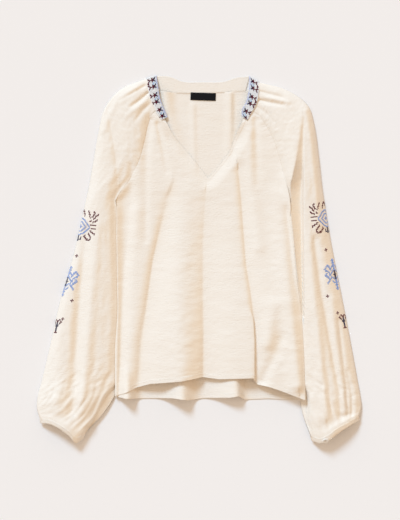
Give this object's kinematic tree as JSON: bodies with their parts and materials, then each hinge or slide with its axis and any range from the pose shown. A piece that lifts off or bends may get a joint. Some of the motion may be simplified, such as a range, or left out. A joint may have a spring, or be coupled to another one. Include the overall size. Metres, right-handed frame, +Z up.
{
  "type": "v-neck blouse laid flat",
  "caption": "Loose V-neck blouse with gathered raglan balloon sleeves, narrow buttoned cuffs and embroidered front neck bands, laid flat on its back.",
  "frame": {"origin": "centre of the laid-out blouse's outline box, on the surface it lies on", "axes": "+Y from hem to neck, +X to the right seen from above, +Z up from the surface"},
  "size_m": [0.6168, 0.6984, 0.0284],
  "materials": {
    "crepe": "matte crinkled crepe, warm cream",
    "embroidered_band": "cross stitch in pale blue, navy and burgundy on white cloth",
    "woven_label": "black satin weave, bare",
    "button_shell": "off-white, semi-gloss"
  },
  "bodies": {
    "root": {"back": "crepe", "front": "crepe", "sleeve_left": "crepe", "sleeve_right": "crepe", "cuff_left": "crepe", "cuff_right": "crepe", "neckband_back": "crepe", "neckband_left": "embroidered_band", "neckband_right": "embroidered_band", "label": "woven_label", "button_left": "button_shell", "button_right": "button_shell"}
  },
  "joints": []
}
